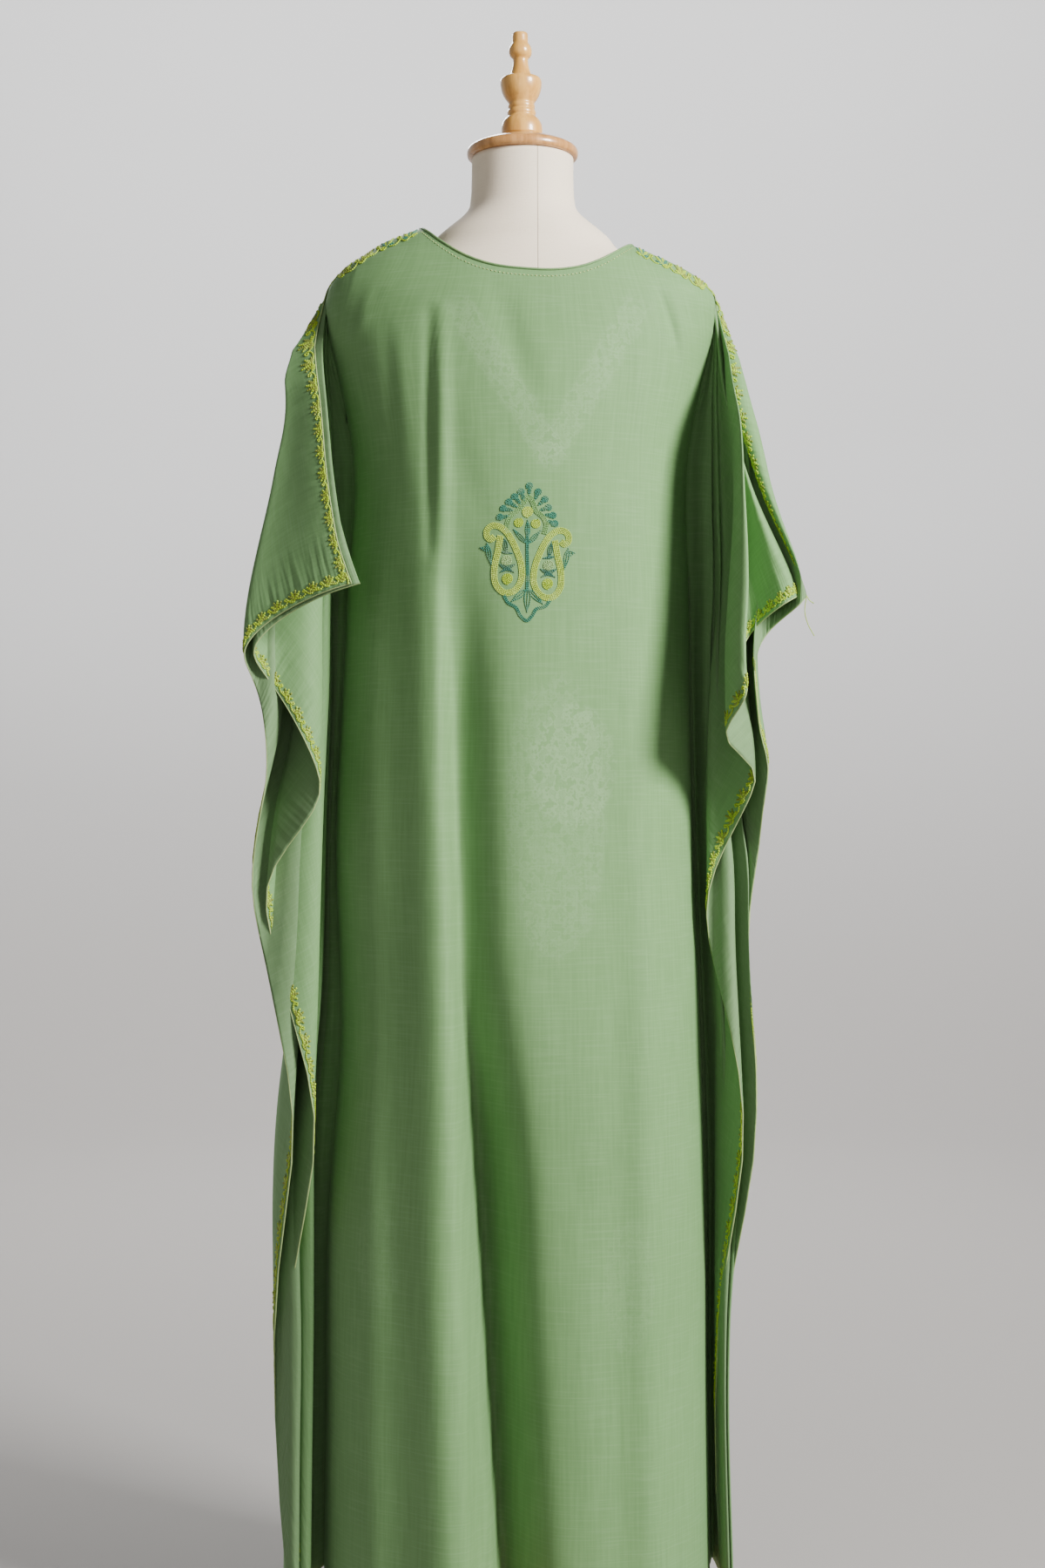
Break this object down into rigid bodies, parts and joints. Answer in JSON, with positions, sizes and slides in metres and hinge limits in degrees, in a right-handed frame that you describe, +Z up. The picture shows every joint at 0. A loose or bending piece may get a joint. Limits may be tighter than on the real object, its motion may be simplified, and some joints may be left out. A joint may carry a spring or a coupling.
{
  "type": "embroidered kaftan on a dress form",
  "caption": "Wide crepe kaftan with draped open wings and chain stitch borders, hung on a limbless dress form on a round base.",
  "frame": {"origin": "centre of the underside of the round base, on the floor", "axes": "+Z up the pole, the kaftan's back faces -Y and its front faces +Y, +X is to the right seen from behind"},
  "size_m": [0.6321, 0.4, 1.7499],
  "materials": {
    "crepe": "matt woven crepe with a soft sheen",
    "linen": "cream linen, matt",
    "cap_wood": "brown lacquered turned wood",
    "finial_wood": "honey lacquered turned wood",
    "pole_metal": "brushed tube",
    "chain_stitch": "lustrous embroidery thread"
  },
  "bodies": {
    "root": {"kaftan_back": "crepe", "kaftan_front": "crepe", "form_torso": "linen", "neck_cap": "cap_wood", "finial": "finial_wood", "stand_pole": "pole_metal", "stand_base": "cap_wood"}
  },
  "joints": []
}
